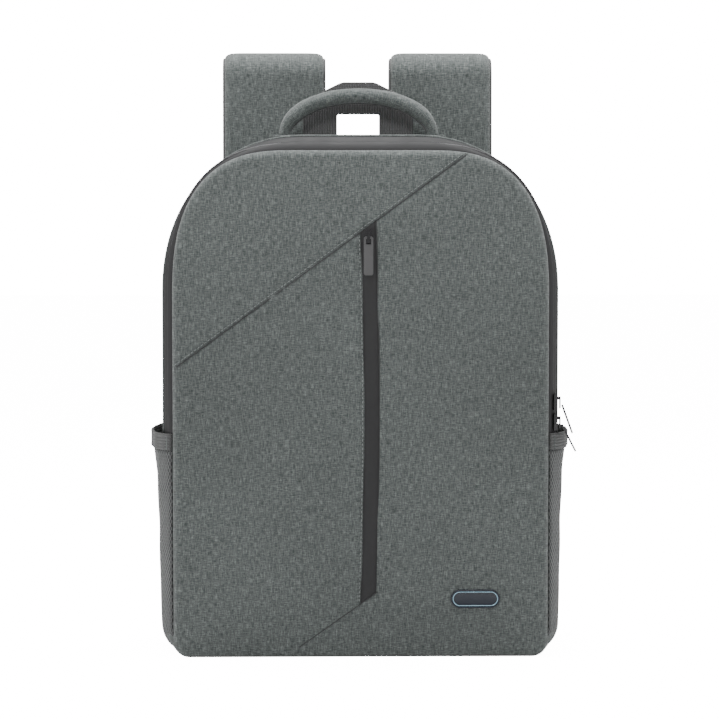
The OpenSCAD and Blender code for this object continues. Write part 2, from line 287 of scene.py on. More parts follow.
def noise(nt, vec, scale_xyz, detail=2.0, rough=0.5):
    mp = nt.nodes.new("ShaderNodeMapping")
    mp.inputs["Scale"].default_value = scale_xyz
    nt.links.new(vec, mp.inputs["Vector"])
    n = nt.nodes.new("ShaderNodeTexNoise")
    n.inputs["Scale"].default_value = 1.0
    n.inputs["Detail"].default_value = detail
    n.inputs["Roughness"].default_value = rough
    nt.links.new(mp.outputs[0], n.inputs["Vector"])
    return n.outputs[0]


def ramp(nt, fac, stops):
    r = nt.nodes.new("ShaderNodeValToRGB")
    el = r.color_ramp.elements
    while len(el) < len(stops):
        el.new(0.5)
    for e, (p, c) in zip(el, stops):
        e.position = p
        e.color = (*c, 1)
    nt.links.new(fac, r.inputs[0])
    return r.outputs[0]


def mix(nt, fac, a, b, blend="MIX"):
    n = nt.nodes.new("ShaderNodeMix")
    n.data_type = "RGBA"
    n.blend_type = blend
    for sock, x in ((n.inputs[0], fac), (n.inputs[6], a), (n.inputs[7], b)):
        if isinstance(x, (int, float)):
            sock.default_value = x
        elif isinstance(x, tuple):
            sock.default_value = (*x, 1)
        else:
            nt.links.new(x, sock)
    return n.outputs[2]


def bump(nt, bsdf, height, dist, strength=1.0):
    b = nt.nodes.new("ShaderNodeBump")
    b.inputs["Strength"].default_value = strength
    b.inputs["Distance"].default_value = dist
    nt.links.new(height, b.inputs["Height"])
    nt.links.new(b.outputs[0], bsdf.inputs["Normal"])


def uv_xy(nt, source="UV"):
    tc = nt.nodes.new("ShaderNodeTexCoord")
    sep = nt.nodes.new("ShaderNodeSeparateXYZ")
    nt.links.new(tc.outputs[source], sep.inputs[0])
    return tc.outputs[source], sep.outputs[0], sep.outputs[1]


def wave(nt, x, per_metre):
    return math_node(nt, "SINE", math_node(nt, "MULTIPLY", x, 2 * math.pi * per_metre))


def heather(name, tones, contrast=1.0, pitch=0.0011, source="UV"):
    """Woven two-tone cloth: light and dark yarns both ways with long slubs up the piece."""
    m, nt, b = new_mat(name)
    vec, u, v = uv_xy(nt, source)
    dark, mid, light = tones
    stops = [(0.30, dark), (0.5, mid), (0.70, light)]
    warp = ramp(nt, noise(nt, vec, (1500, 170, 1), 3.0, 0.65), stops)
    weft = ramp(nt, noise(nt, vec, (210, 1500, 1), 3.0, 0.65), stops)
    mask = math_node(nt, "MULTIPLY", wave(nt, u, 0.5 / pitch), wave(nt, v, 0.5 / pitch))
    fine = noise(nt, vec, (900, 900, 1), 1.0)
    pick = math_node(
        nt, "GREATER_THAN",
        math_node(nt, "ADD", math_node(nt, "MULTIPLY", mask, 0.6), math_node(nt, "SUBTRACT", fine, 0.52)),
        0.0
    )
    col = mix(nt, math_node(nt, "ADD", math_node(nt, "MULTIPLY", pick, 0.3), 0.35), weft, warp)
    slub = ramp(
        nt, noise(nt, vec, (520, 70, 1), 2.0, 0.7),
        [(0.33, (0.72, 0.73, 0.73)), (0.5, (1, 1, 1)), (0.68, (1.3, 1.3, 1.3))]
    )
    col = mix(nt, 0.5 * contrast, col, slub, "MULTIPLY")
    wide = ramp(nt, noise(nt, vec, (9, 7, 1), 2.0), [(0.3, (0.93, 0.93, 0.93)), (0.7, (1.07, 1.07, 1.07))])
    col = mix(nt, 1.0, col, wide, "MULTIPLY")
    nt.links.new(col, b.inputs["Base Color"])
    b.inputs["Roughness"].default_value = 0.88
    b.inputs["Sheen Weight"].default_value = 0.25
    b.inputs["Sheen Roughness"].default_value = 0.5
    b.inputs["Specular IOR Level"].default_value = 0.25
    h = math_node(
        nt, "ADD", math_node(nt, "ABSOLUTE", mask),
        math_node(nt, "MULTIPLY", noise(nt, vec, (700, 90, 1), 2.0), 1.3)
    )
    bump(nt, b, h, 0.00028, 0.8)
    return m


def plain_weave(name, col, alt, per_metre=1400, rough=0.6, sheen=0.1, depth=0.00008, ribs=None, source="UV"):
    """Finer one-colour cloth; ribs is a count per metre across the piece for webbing and elastic."""
    m, nt, b = new_mat(name)
    vec, u, v = uv_xy(nt, source)
    if ribs:
        h = math_node(
            nt, "MULTIPLY", math_node(nt, "ADD", wave(nt, u, ribs), 1.0),
            math_node(nt, "ADD", wave(nt, v, ribs * 1.6), 2.0)
        )
    else:
        h = math_node(nt, "MULTIPLY", wave(nt, u, per_metre / 2), wave(nt, v, per_metre / 2))
    n = noise(nt, vec, (150, 150, 1), 3.0)
    fac = math_node(nt, "ADD", math_node(nt, "MULTIPLY", h, 0.22), n)
    nt.links.new(ramp(nt, fac, [(0.25, col), (0.85, alt)]), b.inputs["Base Color"])
    nt.links.new(
        ramp(nt, n, [(0.3, (rough - 0.08,) * 3), (0.7, (min(1, rough + 0.08),) * 3)]),
        b.inputs["Roughness"]
    )
    b.inputs["Sheen Weight"].default_value = sheen
    b.inputs["Specular IOR Level"].default_value = 0.35
    bump(nt, b, h, depth, 0.7)
    return m


def cell_mesh(name, yarn, hole, per_metre=300, depth=0.0005, diamond=True, source="UV", fine=0.5):
    """Knitted net or air mesh: a lattice of yarn with darker cells; the dark cells are painted shade for the
    depth seen through the holes.
    """
    m, nt, b = new_mat(name)
    vec, u, v = uv_xy(nt, source)
    if diamond:
        p = math_node(nt, "ADD", u, math_node(nt, "MULTIPLY", v, fine))
        q = math_node(nt, "SUBTRACT", u, math_node(nt, "MULTIPLY", v, fine))
    else:
        p, q = u, v
    a = math_node(nt, "ABSOLUTE", wave(nt, p, per_metre / 2))
    c = math_node(nt, "ABSOLUTE", wave(nt, q, per_metre / 2))
    cell = math_node(nt, "MULTIPLY", a, c)
    grain = noise(nt, vec, (1500, 1500, 1), 2.0)
    fac = math_node(nt, "ADD", cell, math_node(nt, "MULTIPLY", math_node(nt, "SUBTRACT", grain, 0.5), 0.25))
    # painted shade: the cells ramp to the dark hole colour, standing in for shade inside the holes
    nt.links.new(ramp(nt, fac, [(0.28, yarn), (0.5, hole)]), b.inputs["Base Color"])
    b.inputs["Roughness"].default_value = 0.75
    b.inputs["Sheen Weight"].default_value = 0.15
    bump(nt, b, math_node(nt, "SUBTRACT", 1.0, cell), depth, 0.8)
    return m


def smooth_mat(name, col, alt, rough=0.45, grain=900, depth=0.00002, source="UV", metal=0.0, spec=0.5):
    """Coated tape, moulded plastic, rubber or lacquered metal with a fine grain and faint wear."""
    m, nt, b = new_mat(name)
    vec, u, v = uv_xy(nt, source)
    fine = noise(nt, vec, (grain, grain, grain), 2.0)
    wide = noise(nt, vec, (60, 60, 60), 3.0)
    nt.links.new(ramp(nt, wide, [(0.3, col), (0.75, alt)]), b.inputs["Base Color"])
    nt.links.new(
        ramp(nt, wide, [(0.3, (rough - 0.07,) * 3), (0.7, (rough + 0.07,) * 3)]), b.inputs["Roughness"]
    )
    b.inputs["Metallic"].default_value = metal
    b.inputs["Specular IOR Level"].default_value = spec
    bump(nt, b, fine, depth, 0.5)
    return m


HEATHER_TONES = ((0.010, 0.015, 0.013), (0.080, 0.091, 0.088), (0.235, 0.253, 0.247))
M = {
    "heather_cloth": heather("heather_cloth", HEATHER_TONES),
    "air_mesh": cell_mesh(
        "air_mesh", (0.055, 0.057, 0.059), (0.008, 0.008, 0.009), 260, 0.0006, True, "UV", 0.8
    ),
    "lining_cloth": plain_weave("lining_cloth", (0.055, 0.057, 0.06), (0.085, 0.087, 0.09), 1600, 0.55, 0.1),
    "pocket_net": cell_mesh(
        "pocket_net", (0.100, 0.105, 0.104), (0.022, 0.024, 0.024), 330, 0.0004, True, "UV", 0.55
    ),
    "edge_binding": plain_weave(
        "edge_binding", (0.042, 0.043, 0.043), (0.080, 0.082, 0.081), 900, 0.7, 0.15, 0.0002, 420
    ),
    "zip_tape": smooth_mat(
        "zip_tape", (0.020, 0.020, 0.021), (0.027, 0.027, 0.028), 0.66, 1400, 0.00004, spec=0.3
    ),
    "zip_coil": smooth_mat(
        "zip_coil", (0.018, 0.018, 0.02), (0.03, 0.03, 0.032), 0.35, 700, 0.0001, "Object"
    ),
    "board": smooth_mat("board", (0.04, 0.04, 0.04), (0.06, 0.06, 0.06), 0.6, 500, 0.0001, "Object"),
    "badge_plastic": smooth_mat(
        "badge_plastic", (0.002, 0.005, 0.013), (0.004, 0.008, 0.018), 0.3, 900, 0.00001, "Object"
    ),
    "zip_metal": smooth_mat(
        "zip_metal", (0.045, 0.045, 0.047), (0.075, 0.075, 0.078), 0.27, 800, 0.00002, "Object", 0.75
    ),
    "puller_rubber": smooth_mat(
        "puller_rubber", (0.060, 0.060, 0.061), (0.072, 0.072, 0.074), 0.5, 1200, 0.00003, "Object"
    ),
    "webbing": plain_weave(
        "webbing", (0.040, 0.040, 0.041), (0.078, 0.078, 0.079), 900, 0.65, 0.15, 0.0003, 480
    ),
    "lock_plastic": smooth_mat(
        "lock_plastic", (0.022, 0.022, 0.024), (0.034, 0.034, 0.036), 0.45, 900, 0.00003, "Object"
    ),
}
THREAD = plain_weave("pale_thread", (0.20, 0.22, 0.215), (0.32, 0.34, 0.335), 1500, 0.7, 0.1)
# dark thread for the binding stitches, also used for the painted shadow lines along the seams and the strip
# edge
DARK_THREAD_AND_SHADE = plain_weave("dark_thread_and_painted_shade", (0.03, 0.032, 0.032), (0.05, 0.052, 0.052), 1500, 0.7, 0.1)
RIM_BLUE = smooth_mat("badge_rim", (0.30, 0.50, 0.62), (0.38, 0.58, 0.70), 0.3, 900, 0.00001, "Object")
NODE_SLOT = {s["node"]: s["material_slot"] for s in frame["record"]["subparts"]}


def dress(ob, slot, material=None):
    ob.data.materials.clear()
    ob.data.materials.append(material or M[slot])
    return ob


for node_name, ob in frame["nodes"].items():
    base = M[NODE_SLOT[node_name]]
    key = NODE_SLOT[node_name] + "_solid"
    if key not in M:
        dup = base.copy()
        dup.name = key
        for n in dup.node_tree.nodes:
            if n.type == "TEX_COORD":
                for link in list(n.outputs["UV"].links):
                    to = link.to_socket
                    dup.node_tree.links.remove(link)
                    dup.node_tree.links.new(n.outputs["Object"], to)
        M[key] = dup
    for s in ob.material_slots:
        s.material = M[key]

# ---------------------------------------------------------------- outlines
def shoulder_size(w):
    """Shoulder width, height and roundness: the side wall is rounder than the front panel."""
    k = (w - FRONT_W) / (BODY_W - FRONT_W)
    return RX + RX_MORE * k, RZ + RZ_MORE * k, 2 / (ORDER - ORDER_LESS * k)


def shoulder_pts(w, h, n, side):
    a = np.linspace(0, np.pi / 2, n)
    rx, rz, p = shoulder_size(w)
    x = w / 2 - rx + rx * np.abs(np.cos(a)) ** p
    z = h - rz + rz * np.sin(a) ** p
    return np.c_[side * x, z]


def arch_open(w, h, z0, n_side=36, n_arc=44, n_top=24):
    """Right side up from z0, over the top and down the left side."""
    rx, rz, _ = shoulder_size(w)
    side = np.c_[np.full(n_side, w / 2), np.linspace(z0, h - rz, n_side, endpoint=False)]
    sh = shoulder_pts(w, h, n_arc, 1)
    top = np.c_[np.linspace(w / 2 - rx, -w / 2 + rx, n_top)[1:-1], np.full(n_top - 2, h)]
    left = np.concatenate([sh[::-1], side[::-1]]) * np.array([-1, 1])
    return np.concatenate([side, sh, top, left])


def corner_radius(w):
    """Lower corners grow from the front panel's radius to the side wall's."""
    return BASE_FRONT + (RB - BASE_FRONT) * (w - FRONT_W) / (BODY_W - FRONT_W)


def arch_low(w, z1, n_side=34, n_arc=12, n_base=40):
    """Left side down from z1, along the base and up the right side."""
    rb = corner_radius(w)
    side = np.c_[np.full(n_side, w / 2), np.linspace(z1, rb, n_side, endpoint=False)]
    a = np.linspace(0, np.pi / 2, n_arc)
    cor = np.c_[w / 2 - rb + rb * np.cos(a), rb - rb * np.sin(a)]
    half = np.concatenate([side, cor])
    base = np.c_[np.linspace(-w / 2 + rb, w / 2 - rb, n_base)[1:-1], np.zeros(n_base - 2)]
    return np.concatenate([half * np.array([-1, 1]), base, half[::-1]])


def arch_closed(w, h):
    low = arch_low(w, FOLD_Z)
    return np.concatenate([low, arch_open(w, h, FOLD_Z)[1:-1]])


def at_y(o, y):
    o = np.asarray(o)
    return np.c_[o[:, 0], np.full(len(o), 1.0) * y, o[:, 1]]


def half_width(w, z):
    """Half width of the body near its base at height z."""
    z = np.asarray(z, float)
    low = w / 2 - RB + np.sqrt(np.maximum(RB**2 - np.maximum(RB - z, 0) ** 2, 0))
    return np.where(z < RB, low, w / 2)


# ---------------------------------------------------------------- front panel
STRIP_W, STRIP_Z0, STRIP_Z1, STRIP_BOW, STRIP_RISE = 0.0124, 0.044, 0.343, 0.0028, 0.009
SEAM_A, SEAM_B = np.array([-0.1477, 0.2349]), np.array([0.0838, 0.4043])
LOW_A, LOW_B = np.array([0.0136, 0.0536]), np.array([-0.0496, 0.0088])
EDGE_R = 0.0062
front_outline = arch_closed(FRONT_W, FRONT_H)


def edge_distance(x, z):
    pts = np.c_[np.ravel(x), np.ravel(z)]
    a = front_outline
    b = np.roll(a, -1, axis=0)
    ab = b - a
    den = np.maximum((ab**2).sum(1), 1e-14)
    out = np.empty(len(pts))
    for i in range(0, len(pts), 4000):
        p = pts[i : i + 4000, None, :] - a[None]
        t = np.clip((p * ab[None]).sum(2) / den, 0, 1)
        out[i : i + 4000] = np.sqrt((((p - t[..., None] * ab[None]) ** 2).sum(2)).min(1))
    return out.reshape(np.shape(x))


def line_distance(x, z, a, b):
    d = (b - a) / np.linalg.norm(b - a)
    s = (x - a[0]) * d[0] + (z - a[1]) * d[1]
    off = (x - a[0]) * -d[1] + (z - a[1]) * d[0]
    beyond = np.maximum(np.maximum(-s, s - np.linalg.norm(b - a)), 0)
    return np.hypot(off, beyond), off


def strip_left(z):
    return STRIP_BOW * np.sin(np.pi * (z - STRIP_Z0) / (STRIP_Z1 - STRIP_Z0)) - 0.0004


def base_y(x, z, d=None):
    """Front surface of the padded panel without its seams."""
    d = edge_distance(x, z) if d is None else d
    inner = np.clip(EDGE_R - d, 0, EDGE_R)
    roll = EDGE_R - np.sqrt(np.maximum(EDGE_R**2 - inner**2, 0))
    puff = 0.0013 * smooth(d / 0.05)
    soft = 0.00045 * np.sin(21 * x + 9 * z + 0.4) * np.sin(17 * z - 6 * x + 1.1)
    soft += 0.00022 * np.sin(58 * x - 31 * z) * np.sin(47 * z + 12 * x + 2.0)
    pull = 0.0006 * smooth((0.05 - d) / 0.05) * np.sin(150 * (x + z))
    return FY + roll - puff + (soft + pull * 0.5) * smooth(d / 0.02)


def skin_y(x, z):
    y = base_y(x, z)
    s, off = line_distance(x, z, SEAM_A, SEAM_B)
    y = y + 0.0012 * np.exp(-((s / 0.0014) ** 2)) - 0.0005 * np.exp(-(((s - 0.005) / 0.003) ** 2)) * (off < 0)
    s, off = line_distance(x, z, LOW_A, LOW_B)
    y = y + 0.0007 * np.exp(-((s / 0.0016) ** 2))
    xs = x - strip_left(z)
    lift = STRIP_RISE * np.clip(xs / STRIP_W, 0, 1)
    inside = smooth((xs + 0.0008) / 0.0012) * smooth((STRIP_W + 0.0008 - xs) / 0.0012)
    inside = inside * smooth((z - STRIP_Z0 - lift + 0.0008) / 0.0012)
    inside = inside * smooth((STRIP_Z1 + lift + 0.0008 - z) / 0.0012)
    near = np.exp(-(((xs + 0.003) / 0.003) ** 2)) + np.exp(-(((xs - STRIP_W - 0.003) / 0.003) ** 2))
    near = near * (z > STRIP_Z0) * (z < STRIP_Z1 + STRIP_RISE)
    return y + 0.0017 * inside - 0.00035 * near * (1 - inside)


def front_rows(w, h, step=0.0021):
    rb = corner_radius(w)
    rows = []
    for a in np.linspace(np.pi / 2, 0, 14):
        rows.append((rb - rb * math.sin(a), w / 2 - rb + rb * math.cos(a)))
    for z in np.arange(rb + step, h - shoulder_size(w)[1] - step / 2, step):
        rows.append((z, w / 2))
    for x, z in shoulder_pts(w, h, 64, 1):
        rows.append((z, x))
    return np.array(rows)


def panel_sheet(name, w, h, fn, cols, inset=0.0, flip=False, step=0.0021):
    rows = front_rows(w, h, step)
    s = np.linspace(-1, 1, cols)
    u = 0.5 * s + 0.5 * np.sin(np.pi / 2 * s)
    X = rows[:, 1:2] * u[None]
    Z = np.repeat(rows[:, :1], cols, 1)
    Y = fn(X, Z)
    return grid_mesh(name, np.stack([X, Y, Z], -1), np.stack([X, Z], -1), flip=flip)


def folds(ob):
    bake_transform(ob)


skin = panel_sheet("front_skin", FRONT_W, FRONT_H, skin_y, 191)
dress(skin, "heather_cloth")
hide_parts("front_panel_upper", "front_panel_corner", "front_panel_lower")
folds(skin)

INNER_Y = TAPE_Y + 0.0004


def backing_y(x, z):
    return np.full(np.shape(x), INNER_Y) + 0.0002 * np.sin(60 * x) * np.sin(45 * z)


backing = panel_sheet(
    "front_backing", FRONT_W - 0.0004, FRONT_H - 0.0002, backing_y, 61, flip=True, step=0.006
)
dress(backing, "lining_cloth")
folds(backing)

# pocket bag behind the front panel
bag_lo = np.array(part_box("pocket_lining_lower")[0])
bag_hi = np.array(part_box("pocket_lining_upper")[1])
gx = np.linspace(bag_lo[0], bag_hi[0], 50)
gz = np.linspace(bag_lo[2], bag_hi[2], 110)
X, Z = np.meshgrid(gx, gz)
ex = np.minimum(X - gx[0], gx[-1] - X)
ez = np.minimum(Z - gz[0], gz[-1] - Z)
bulge = 0.0046 * smooth(np.minimum(ex, ez) / 0.014) * (1 + 0.12 * np.sin(70 * X + 40 * Z) * np.sin(55 * Z))
bag = grid_mesh("pocket_bag", np.stack([X, INNER_Y + 0.0001 + bulge, Z], -1), np.stack([X, Z], -1), flip=True)
dress(bag, "lining_cloth")
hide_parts("pocket_lining_upper", "pocket_lining_lower")
folds(bag)

# smooth strip with slanted ends, set into the cloth
zs = np.linspace(0, 1, 170)
ss = np.linspace(0, 1, 15)
S, T = np.meshgrid(ss, zs)
lift = STRIP_RISE * S
Z = STRIP_Z0 + T * (STRIP_Z1 - STRIP_Z0) + lift
X = strip_left(STRIP_Z0 + T * (STRIP_Z1 - STRIP_Z0)) + S * STRIP_W
Y = base_y(
    X, Z
) + 0.0011 - 0.0009 * (1 - np.abs(2 * S - 1) ** 5) * smooth(T / 0.006) * smooth((1 - T) / 0.006)
strip = grid_mesh("pocket_strip", np.stack([X, Y, Z], -1), np.stack([X, Z], -1))
dress(strip, "zip_tape")
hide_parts("pocket_strip_upper", "pocket_strip_lower", "pocket_coil_upper", "pocket_coil_lower")
folds(strip)


def surface_line(pts, lift=0.0):
    pts = np.array(pts)
    y = skin_y(pts[:, 0], pts[:, 1]) - lift
    return np.c_[pts[:, 0], y, pts[:, 1]]


def between(a, b, n, shift=0.0):
    d = (b - a) / np.linalg.norm(b - a)
    nrm = np.array([-d[1], d[0]])
    t = np.linspace(0, 1, n)[:, None]
    return a + (b - a) * t + nrm * shift


# slanted seam: a dark tube sunk in the groove as painted shadow, and a pale stitch line above it
seam_shadow_tube = tube("seam_painted_shadow", surface_line(between(SEAM_A, SEAM_B, 120), 0.0006), 0.0005, up=(0, 1, 0), n=6)
dress(seam_shadow_tube, "heather_cloth", DARK_THREAD_AND_SHADE)
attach(seam_shadow_tube, "front_flap")
row = stitches(
    "seam_stitches", surface_line(between(SEAM_A, SEAM_B, 160, 0.0022), 0.00005), (0, -1, 0), 0.0021,
    0.0012, 0.00022
)
dress(row, "heather_cloth", THREAD)
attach(row, "front_flap")
# lower seam: a dark tube in the groove as painted shadow
seam_shadow_tube = tube("low_seam_painted_shadow", surface_line(between(LOW_A, LOW_B, 40), 0.0002), 0.0004, up=(0, 1, 0), n=6)
dress(seam_shadow_tube, "heather_cloth", DARK_THREAD_AND_SHADE)
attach(seam_shadow_tube, "pack")
# topstitch beside the strip
zz = np.linspace(STRIP_Z0 + 0.002, STRIP_Z1 - 0.001, 200)
row = stitches(
    "strip_stitches", surface_line(np.c_[strip_left(zz) - 0.0011, zz], 0.00005), (0, -1, 0), 0.0020,
    0.0014, 0.00026
)
dress(row, "heather_cloth", THREAD)
folds(row)
# painted shadow: a dark tube along the strip's right edge
zz = np.linspace(STRIP_Z0 + 0.010, STRIP_Z1 + 0.008, 200)
edge = tube(
    "strip_shadow_edge",
    surface_line(np.c_[strip_left(zz - STRIP_RISE) + STRIP_W + 0.0002, zz], -0.0004), 0.0005,
    up=(0, 1, 0), n=6
)
dress(edge, "heather_cloth", DARK_THREAD_AND_SHADE)
folds(edge)

# ---------------------------------------------------------------- zip bands, side wall
def band(name, specs, z0, slot_name, body, z_open=True, flip=False):
    rings = []
    for w, h, y in specs:
        o = arch_open(w, h, z0) if z_open else arch_low(w, z0)
        rings.append(at_y(o, y))
    ob = loft(name, rings, flip=flip)
    dress(ob, slot_name)
    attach(ob, body)
    return ob


def ease_specs(w0, h0, y0, w1, h1, y1, n=7, p=0.8):
    out = []
    for t in np.linspace(0, 1, n):
        e = math.sin(t * math.pi / 2) ** p
        out.append((w0 + (w1 - w0) * e, h0 + (h1 - h0) * e, y0 + (y1 - y0) * t))
    return out


MID_W, MID_H = FRONT_W + 0.0086, FRONT_H + 0.0066
edge_y = FY + EDGE_R
# sewn edge of the tape, inside the front
TAPE_EDGE = (FRONT_W - 0.004, FRONT_H - 0.002, INNER_Y + 0.0006)
flap_band = band(
    "flap_zip_band",
    [TAPE_EDGE] + ease_specs(FRONT_W - 0.0002, FRONT_H - 0.0001, edge_y, MID_W, MID_H, SEAM_Y - 0.0001),
    FOLD_Z + 0.0003, "zip_tape", "front_flap"
)
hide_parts("flap_zip_tape", "flap_zip_coil")
rear_band = band(
    "rear_zip_band",
    ease_specs(
        MID_W + 0.0002, MID_H + 0.0001, SEAM_Y + 0.0004, BODY_W - 0.0014, BODY_H - 0.001,
        WALL_Y + 0.0005, p=1.0
    ),
    FOLD_Z, "zip_tape", "pack"
)
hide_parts("rear_zip_tape", "rear_zip_coil")
band(
    "low_front_band",
    ease_specs(FRONT_W - 0.0002, 0, edge_y, BODY_W - 0.0014, 0, WALL_Y + 0.0005, n=9), FOLD_Z,
    "heather_cloth", "pack", z_open=False, flip=True
)

M["coil_teeth"] = smooth_mat("coil_teeth", (0.018, 0.018, 0.02), (0.03, 0.03, 0.032), 0.35)


def teeth(name, y, body):
    o = arch_open(MID_W - 0.0036, MID_H - 0.0018, FOLD_Z + 0.001)
    path = at_y(o, y)
    ob = tube(name, path, 0.0011, up=(0, 1, 0), n=8)
    dress(ob, "zip_coil", M["coil_teeth"])
    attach(ob, body)


teeth("flap_teeth", SEAM_Y - 0.0014, "front_flap")
teeth("rear_teeth", SEAM_Y + 0.0018, "pack")

# welt of cloth between the zip band and the side wall
o = arch_open(BODY_W - 0.0008, BODY_H - 0.0006, FOLD_Z + 0.0005)
welt = tube("front_welt", at_y(o, WALL_Y + 0.0007), 0.0011, up=(0, 1, 0), n=8)
dress(welt, "heather_cloth")
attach(welt, "pack")

rings = []
Y0, Y1 = WALL_Y + 0.0005, BACK_Y - 0.0015
closed = arch_closed(BODY_W, BODY_H)
for t in np.linspace(0, 1, 34):
    y = Y0 + (Y1 - Y0) * t
    sag = 0.0016 * math.sin(math.pi * t)
    o = arch_closed(BODY_W - 0.0008, BODY_H - 0.0004).copy()
    k = smooth(o[:, 1] / 0.05)
    rip = 0.0005 * np.sin(60 * o[:, 1] + 5 * t) * math.sin(math.pi * t)
    c = np.array([0, 0.5 * BODY_H])
    d = o - c
    d /= np.linalg.norm(d, axis=1)[:, None]
    o = o - d * ((sag + rip) * k)[:, None]
    ring = at_y(o, y)
    ring[:, 2] = np.maximum(ring[:, 2], 0.0)
    rings.append(ring)
P = np.array(rings)
u = np.concatenate([[0], np.cumsum(np.linalg.norm(np.diff(P[5], axis=0), axis=1))])
v = np.linspace(0, Y1 - Y0, len(rings))
uv = np.stack(np.meshgrid(u, v), -1)[..., ::-1]
wall = grid_mesh("side_wall", P, uv, close=True)
dress(wall, "heather_cloth")
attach(wall, "pack")
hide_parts("gusset")

# ---------------------------------------------------------------- back
def crown_sheet(name, w, h, y0, bulge, flip):
    def fn(x, z):
        e = np.minimum(w / 2 - np.abs(x), np.minimum(z, h - z))
        return y0 + bulge * smooth(e / 0.03)

    return panel_sheet(name, w, h, fn, 81, flip=flip, step=0.005)


back = crown_sheet("back_skin", BODY_W - 0.002, BODY_H - 0.001, BACK_Y - 0.0015, 0.0016, True)
dress(back, "air_mesh")
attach(back, "pack")
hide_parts("back_panel")
inner = crown_sheet("back_inner", BODY_W - 0.006, BODY_H - 0.003, BACK_Y - 0.004, 0.0, False)
dress(inner, "lining_cloth")
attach(inner, "pack")
pipe = tube(
    "rear_piping", at_y(arch_closed(BODY_W - 0.0024, BODY_H - 0.0016), BACK_Y - 0.0013), 0.0017,
    up=(0, 1, 0), n=8, closed=True
)
pz = pipe.data
for vtx in pz.vertices:
    vtx.co.z = max(vtx.co.z, 0.0)
dress(pipe, "edge_binding")
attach(pipe, "pack")


def pillow(name, x0, x1, z0, z1, y0, rise, r, slot_name, body, cols=48, rows=100, channels=0):
    """Crowned pad whose sides pull in between its corners."""
    s = np.linspace(-1, 1, cols)
    t = np.linspace(-1, 1, rows)
    s = np.sin(np.pi / 2 * s) * 0.5 + s * 0.5
    t = np.sin(np.pi / 2 * t) * 0.5 + t * 0.5
    S, T = np.meshgrid(s, t)
    cx, cz, hx, hz = (x0 + x1) / 2, (z0 + z1) / 2, (x1 - x0) / 2, (z1 - z0) / 2
    k = r / hx
    kz = r / hz
    X = cx + hx * S * np.where(
        np.abs(T) > 1 - kz, 1 - k * (1 - np.sqrt(np.maximum(1 - ((np.abs(T) - 1 + kz) / kz) ** 2, 0))),
        1
    )
    Z = cz + hz * T
    X = X - 0.0012 * np.sign(X - cx) * (1 - T**2) * np.abs(S) ** 3
    ed = np.minimum(np.minimum(hx - np.abs(X - cx), hz - np.abs(Z - cz)), 0.02)
    corner = np.hypot(np.maximum(np.abs(X - cx) - hx + r, 0), np.maximum(np.abs(Z - cz) - hz + r, 0))
    ed = np.minimum(ed, np.maximum(r - corner, 0))
    prof = np.sqrt(np.clip(1 - (1 - np.clip(ed / 0.012, 0, 1)) ** 2, 0, 1))
    Y = y0 + rise * prof
    for c in range(channels):
        zc = z0 + (z1 - z0) * (c + 1) / (channels + 1)
        Y = Y - rise * 0.55 * np.exp(-(((Z - zc) / 0.0025) ** 2)) * smooth(ed / 0.01)
    ob = grid_mesh(name, np.stack([X, Y, Z], -1), np.stack([X, Z], -1), flip=True)
    dress(ob, slot_name)
    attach(ob, body)
    return ob


for side in ("left", "right"):
    lo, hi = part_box("back_pad_" + side)
    p = pillow(
        "back_cushion_" + side, lo[0], hi[0], lo[2], hi[2], BACK_Y - 0.0002, hi[1] - BACK_Y + 0.001,
        0.016, "air_mesh", "pack", channels=3
    )
    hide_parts("back_pad_" + side)
lo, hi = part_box("lumbar_pad")
p = pillow(
    "lumbar_cushion", lo[0], hi[0], lo[2], hi[2], BACK_Y - 0.0002, hi[1] - BACK_Y + 0.001, 0.016,
    "air_mesh", "pack", cols=90, rows=48
)
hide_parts("lumbar_pad")

lo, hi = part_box("shoulder_yoke")
yoke = rounded_box("yoke", (lo[0], BACK_Y - 0.001, lo[2]), tuple(hi), 0.003, 4)
dress(yoke, "heather_cloth")
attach(yoke, "pack")
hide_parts("shoulder_yoke")
for i, zz in enumerate((lo[2] + 0.004, hi[2] - 0.004)):
    pts = np.array([[x, hi[1] + 0.0001, zz] for x in np.linspace(hi[0] - 0.004, lo[0] + 0.004, 60)])
    row = stitches("yoke_stitches_%d" % i, pts, (0, 1, 0), 0.0022, 0.0012, 0.00026)
    dress(row, "heather_cloth", THREAD)
    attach(row, "pack")

# ---------------------------------------------------------------- side pockets
bind_lo, bind_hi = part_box("net_binding_right")
NET_Y0, NET_Y1 = TAPE_Y + 0.0006, bind_hi[1]
MOUTH = bind_hi[2]
BIND_H = bind_hi[2] - bind_lo[2]


def bow(side, z, out, n=44):
    """One line round a side pocket at height z, standing out from the body."""
    u = np.linspace(0, 1, n)
    x0 = half_width(FRONT_W, z) + 0.0010
    x1 = half_width(BODY_W, z) + 0.0004
    x = x0 + (x1 - x0) * np.minimum(1, u / 0.14) ** 0.8 + out * np.sin(np.pi * np.clip(u, 0, 1)) ** 0.75
    return np.c_[side * x, NET_Y0 + (NET_Y1 - NET_Y0) * u, np.full(n, z)]


